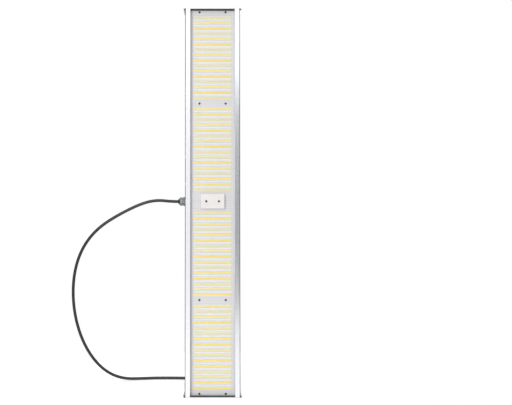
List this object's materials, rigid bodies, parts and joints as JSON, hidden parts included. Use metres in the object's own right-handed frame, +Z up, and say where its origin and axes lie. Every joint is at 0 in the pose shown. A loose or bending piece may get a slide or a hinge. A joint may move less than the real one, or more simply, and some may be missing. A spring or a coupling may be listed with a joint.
{
  "type": "led grow light",
  "caption": "Slim LED grow bar: slotted side rails, cross-finned heat sinks, boards with rows of yellow and pale LEDs, and a glanded lead with a round plug.",
  "frame": {"origin": "middle of the lower end face, which the bar stands on", "axes": "+Z up along the bar, -Y the way the LEDs face, +Y the finned back, -X the rail with the cable gland"},
  "size_m": [0.5461, 0.2477, 1.2],
  "materials": {
    "rail_aluminium": "satin anodised extrusion",
    "plate_aluminium": "brushed",
    "sink_aluminium": "clear anodised",
    "bright_aluminium": "bright clear anodised",
    "sheet_aluminium": "matte rolled sheet",
    "board_white": "white solder mask",
    "thermal_pad": "matte silicone",
    "warm_phosphor": "phosphor under clear silicone",
    "pale_phosphor": "pale phosphor under clear silicone",
    "screw_steel": "plain",
    "cover_cream": "moulded, satin",
    "block_plastic": "moulded",
    "plug_white": "moulded",
    "core_red": "insulation",
    "core_black": "insulation",
    "gland_metal": "nickel plated",
    "gland_nylon": "nylon",
    "seal_rubber": "matte",
    "lead_sheath": "smooth extruded sheath",
    "plug_black": "moulded",
    "contact_brass": "plated"
  },
  "bodies": {
    "light": {"left_side_rail": "rail_aluminium", "right_side_rail": "rail_aluminium", "rail_plug": "plug_white", "upper_gasket": "seal_rubber", "lower_gasket": "seal_rubber", "upper_end_plate": "plate_aluminium", "lower_end_plate": "plate_aluminium", "end_plate_screws": "screw_steel", "heatsink_lower": "sink_aluminium", "heatsink_upper": "sink_aluminium", "heatsink_centre": "bright_aluminium", "upper_cross_strap": "sheet_aluminium", "lower_cross_strap": "sheet_aluminium", "wiring_cover": "sheet_aluminium", "thermal_pad_lower": "thermal_pad", "thermal_pad_upper": "thermal_pad", "led_board_lower": "board_white", "led_board_upper": "board_white", "yellow_leds_upper": "warm_phosphor", "yellow_leds_lower": "warm_phosphor", "white_leds_upper": "pale_phosphor", "white_leds_lower": "pale_phosphor", "board_screws": "screw_steel", "terminal_cover": "cover_cream", "terminal_cover_screws": "screw_steel", "terminal_block": "block_plastic", "core_positive": "core_red", "core_negative": "core_black", "gland_body": "gland_metal", "gland_washer": "seal_rubber", "gland_locknut": "gland_metal", "lead_inner": "lead_sheath", "supply_lead": "lead_sheath", "lead_coil": "lead_sheath", "lead_tail": "lead_sheath", "plug_bend_relief": "seal_rubber", "plug_body": "plug_black", "plug_contacts": "contact_brass"},
    "gland_clamp": {"gland_seal": "seal_rubber", "gland_claw": "gland_nylon"},
    "dome_nut": {"gland_dome_nut": "gland_metal"},
    "plug_collar": {"plug_ring": "plug_black"}
  },
  "joints": [
    {"name": "dome_nut_travel", "type": "slide", "parent": "light", "child": "gland_clamp", "axis": [-1, 0, 0], "range_m": [0, 0.0046]},
    {"name": "dome_nut_turn", "type": "hinge", "parent": "gland_clamp", "child": "dome_nut", "pos_m": [-0.1, 0.002, 0.6], "axis": [-1, 0, 0], "range_deg": [0, 1080]},
    {"name": "plug_ring_turn", "type": "hinge", "parent": "light", "child": "plug_collar", "pos_m": [0.05841, 0.20598, 0.0103], "axis": [0.9848, 0.1738, 0], "continuous": true}
  ],
  "couplings": [
    {"joint": "dome_nut_travel", "follows": "dome_nut_turn", "m_per_rad": 0.00023873}
  ]
}
